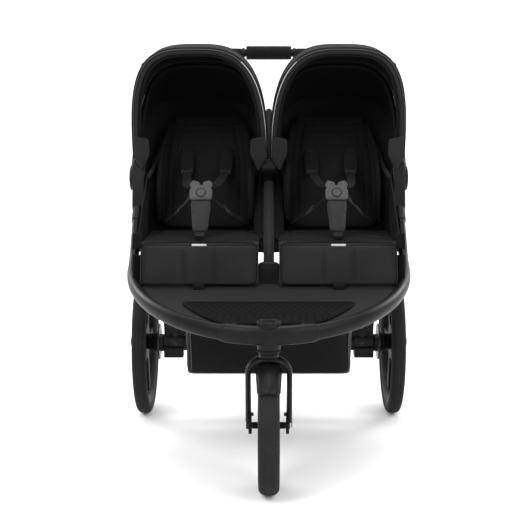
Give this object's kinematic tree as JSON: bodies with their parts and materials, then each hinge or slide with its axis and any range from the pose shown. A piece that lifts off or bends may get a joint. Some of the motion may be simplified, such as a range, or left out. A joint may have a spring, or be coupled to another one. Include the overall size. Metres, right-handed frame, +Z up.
{
  "type": "double jogging stroller",
  "caption": "Three-wheeled jogging stroller with side-by-side seats, folding hoods, swivelling front wheel, sprung rear wheels, basket and a tilting handlebar.",
  "frame": {"origin": "on the floor below the middle of the stroller's bounding box", "axes": "+X across the stroller, -Y forwards to the front wheel, +Z up"},
  "size_m": [0.77, 1.1673, 1.033],
  "materials": {
    "frame_paint": "satin black powder coat",
    "moulded_plastic": "fine grained moulded nylon",
    "grip_rubber": "soft ribbed rubber",
    "tyre_rubber": "matt air tyre rubber",
    "canopy_fabric": "coated plain weave",
    "seat_fabric": "woven polyester",
    "basket_fabric": "coated ripstop",
    "pad_fabric": "brushed padding",
    "webbing": "flat woven webbing",
    "steel": "satin"
  },
  "bodies": {
    "chassis": {"head_casting": "moulded_plastic", "frame_tube_left": "frame_paint", "frame_tube_right": "frame_paint", "hinge_housing_left": "moulded_plastic", "hinge_housing_right": "moulded_plastic", "seat_pad_left": "seat_fabric", "seat_pad_right": "seat_fabric", "seat_wing_left": "seat_fabric", "seat_wing_right": "seat_fabric", "crotch_pad_left": "pad_fabric", "crotch_pad_right": "pad_fabric", "buckle_left": "moulded_plastic", "buckle_right": "moulded_plastic", "canopy_rear_left": "canopy_fabric", "canopy_rear_right": "canopy_fabric", "seat_front_crossbar": "frame_paint", "seat_rear_crossbar": "frame_paint", "centre_rail": "frame_paint", "footrest_panel": "seat_fabric", "footrest_tread": "grip_rubber", "basket": "basket_fabric"},
    "upper_frame": {"upper_rail_left": "frame_paint", "upper_rail_right": "frame_paint"},
    "handlebar": {"handlebar": "frame_paint"},
    "brake_grip": {"brake_grip": "grip_rubber"},
    "rear_frame": {"rear_leg_left": "frame_paint", "rear_leg_right": "frame_paint", "axle_beam": "frame_paint"},
    "brake_pedal": {"brake_pedal": "moulded_plastic"},
    "fork": {"fork": "frame_paint", "fender": "moulded_plastic", "front_axle": "steel"},
    "front_wheel": {"front_wheel_tyre": "tyre_rubber", "front_wheel_rim": "moulded_plastic"},
    "quick_release_lever": {"quick_release_lever": "steel"},
    "swivel_lock_knob": {"swivel_lock_knob": "moulded_plastic"},
    "canopy_middle_left": {"canopy_middle_left": "canopy_fabric"},
    "canopy_front_left": {"canopy_front_left": "canopy_fabric"},
    "backrest_left": {"backrest_left": "seat_fabric", "shoulder_straps_left": "webbing"},
    "buckle_button_left": {"buckle_button_left": "moulded_plastic"},
    "tilt_button_left": {"tilt_button_left": "moulded_plastic"},
    "fold_release_left": {"fold_release_left": "moulded_plastic"},
    "suspension_left": {"suspension_arm_left": "moulded_plastic", "brake_drum_left": "steel"},
    "rear_wheel_left": {"rear_wheel_left_tyre": "tyre_rubber", "rear_wheel_left_rim": "moulded_plastic"},
    "wheel_release_left": {"wheel_release_left": "moulded_plastic"},
    "canopy_middle_right": {"canopy_middle_right": "canopy_fabric"},
    "canopy_front_right": {"canopy_front_right": "canopy_fabric"},
    "backrest_right": {"backrest_right": "seat_fabric", "shoulder_straps_right": "webbing"},
    "buckle_button_right": {"buckle_button_right": "moulded_plastic"},
    "tilt_button_right": {"tilt_button_right": "moulded_plastic"},
    "fold_release_right": {"fold_release_right": "moulded_plastic"},
    "suspension_right": {"suspension_arm_right": "moulded_plastic", "brake_drum_right": "steel"},
    "rear_wheel_right": {"rear_wheel_right_tyre": "tyre_rubber", "rear_wheel_right_rim": "moulded_plastic"},
    "wheel_release_right": {"wheel_release_right": "moulded_plastic"}
  },
  "joints": [
    {"name": "fold", "type": "hinge", "parent": "chassis", "child": "upper_frame", "pos_m": [0, 0.13, 0.66], "axis": [1, 0, 0], "range_deg": [0, 160]},
    {"name": "rear_fold", "type": "hinge", "parent": "chassis", "child": "rear_frame", "pos_m": [0, 0.1, 0.6], "axis": [1, 0, 0], "range_deg": [-30, 0]},
    {"name": "handlebar_tilt", "type": "hinge", "parent": "upper_frame", "child": "handlebar", "pos_m": [0, 0.42, 0.945], "axis": [-1, 0, 0], "range_deg": [-45, 50]},
    {"name": "brake_twist", "type": "hinge", "parent": "handlebar", "child": "brake_grip", "pos_m": [0, 0.564, 1.013], "axis": [1, 0, 0], "range_deg": [0, 35], "stiffness_Nm_per_rad": 1},
    {"name": "brake_pedal", "type": "hinge", "parent": "rear_frame", "child": "brake_pedal", "pos_m": [0, 0.278, 0.214], "axis": [-1, 0, 0], "range_deg": [0, 22]},
    {"name": "swivel", "type": "hinge", "parent": "chassis", "child": "fork", "pos_m": [0, -0.487, 0.3148], "axis": [0, 0, 1], "continuous": true},
    {"name": "front_wheel_spin", "type": "hinge", "parent": "fork", "child": "front_wheel", "pos_m": [0, -0.435, 0.14828], "axis": [1, 0, 0], "continuous": true},
    {"name": "quick_release", "type": "hinge", "parent": "fork", "child": "quick_release_lever", "pos_m": [0.0488, -0.435, 0.14828], "axis": [0, 0, -1], "range_deg": [0, 90]},
    {"name": "swivel_lock", "type": "hinge", "parent": "chassis", "child": "swivel_lock_knob", "pos_m": [0, -0.487, 0.3678], "axis": [0, 0, 1], "range_deg": [0, 90]},
    {"name": "canopy_middle_left", "type": "hinge", "parent": "chassis", "child": "canopy_middle_left", "pos_m": [-0.1735, 0.09, 0.69], "axis": [-1, 0, 0], "range_deg": [0, 24]},
    {"name": "canopy_front_left", "type": "hinge", "parent": "canopy_middle_left", "child": "canopy_front_left", "pos_m": [-0.1735, 0.09, 0.69], "axis": [-1, 0, 0], "range_deg": [0, 24]},
    {"name": "recline_left", "type": "hinge", "parent": "chassis", "child": "backrest_left", "pos_m": [-0.162, 0.085, 0.53], "axis": [-1, 0, 0], "range_deg": [0, 38]},
    {"name": "buckle_button_left", "type": "slide", "parent": "chassis", "child": "buckle_button_left", "axis": [0, 0.8572, -0.515], "range_m": [0, 0.0025], "stiffness_N_per_m": 500},
    {"name": "tilt_button_left", "type": "slide", "parent": "upper_frame", "child": "tilt_button_left", "axis": [1, 0, 0], "range_m": [0, 0.003], "stiffness_N_per_m": 600},
    {"name": "fold_release_left", "type": "slide", "parent": "upper_frame", "child": "fold_release_left", "axis": [0, 0.7132, 0.7009], "range_m": [0, 0.012], "stiffness_N_per_m": 300},
    {"name": "suspension_left", "type": "hinge", "parent": "rear_frame", "child": "suspension_left", "pos_m": [-0.29, 0.245, 0.208], "axis": [1, 0, 0], "range_deg": [0, 12], "stiffness_Nm_per_rad": 25, "springref_deg": -25.78},
    {"name": "rear_wheel_spin_left", "type": "hinge", "parent": "suspension_left", "child": "rear_wheel_left", "pos_m": [-0.343, 0.315, 0.19904], "axis": [1, 0, 0], "continuous": true},
    {"name": "wheel_release_left", "type": "slide", "parent": "rear_wheel_left", "child": "wheel_release_left", "axis": [1, 0, 0], "range_m": [0, 0.0025], "stiffness_N_per_m": 500},
    {"name": "canopy_middle_right", "type": "hinge", "parent": "chassis", "child": "canopy_middle_right", "pos_m": [0.1735, 0.09, 0.69], "axis": [-1, 0, 0], "range_deg": [0, 24]},
    {"name": "canopy_front_right", "type": "hinge", "parent": "canopy_middle_right", "child": "canopy_front_right", "pos_m": [0.1735, 0.09, 0.69], "axis": [-1, 0, 0], "range_deg": [0, 24]},
    {"name": "recline_right", "type": "hinge", "parent": "chassis", "child": "backrest_right", "pos_m": [0.162, 0.085, 0.53], "axis": [-1, 0, 0], "range_deg": [0, 38]},
    {"name": "buckle_button_right", "type": "slide", "parent": "chassis", "child": "buckle_button_right", "axis": [0, 0.8572, -0.515], "range_m": [0, 0.0025], "stiffness_N_per_m": 500},
    {"name": "tilt_button_right", "type": "slide", "parent": "upper_frame", "child": "tilt_button_right", "axis": [-1, 0, 0], "range_m": [0, 0.003], "stiffness_N_per_m": 600},
    {"name": "fold_release_right", "type": "slide", "parent": "upper_frame", "child": "fold_release_right", "axis": [0, 0.7132, 0.7009], "range_m": [0, 0.012], "stiffness_N_per_m": 300},
    {"name": "suspension_right", "type": "hinge", "parent": "rear_frame", "child": "suspension_right", "pos_m": [0.29, 0.245, 0.208], "axis": [1, 0, 0], "range_deg": [0, 12], "stiffness_Nm_per_rad": 25, "springref_deg": -25.78},
    {"name": "rear_wheel_spin_right", "type": "hinge", "parent": "suspension_right", "child": "rear_wheel_right", "pos_m": [0.343, 0.315, 0.19904], "axis": [1, 0, 0], "continuous": true},
    {"name": "wheel_release_right", "type": "slide", "parent": "rear_wheel_right", "child": "wheel_release_right", "axis": [-1, 0, 0], "range_m": [0, 0.0025], "stiffness_N_per_m": 500}
  ],
  "couplings": [
    {"joint": "rear_fold", "follows": "fold", "ratio": -0.1875},
    {"joint": "canopy_front_left", "follows": "canopy_middle_left", "ratio": 1},
    {"joint": "canopy_front_right", "follows": "canopy_middle_right", "ratio": 1},
    {"joint": "tilt_button_right", "follows": "tilt_button_left", "ratio": 1},
    {"joint": "fold_release_right", "follows": "fold_release_left", "ratio": 1}
  ]
}
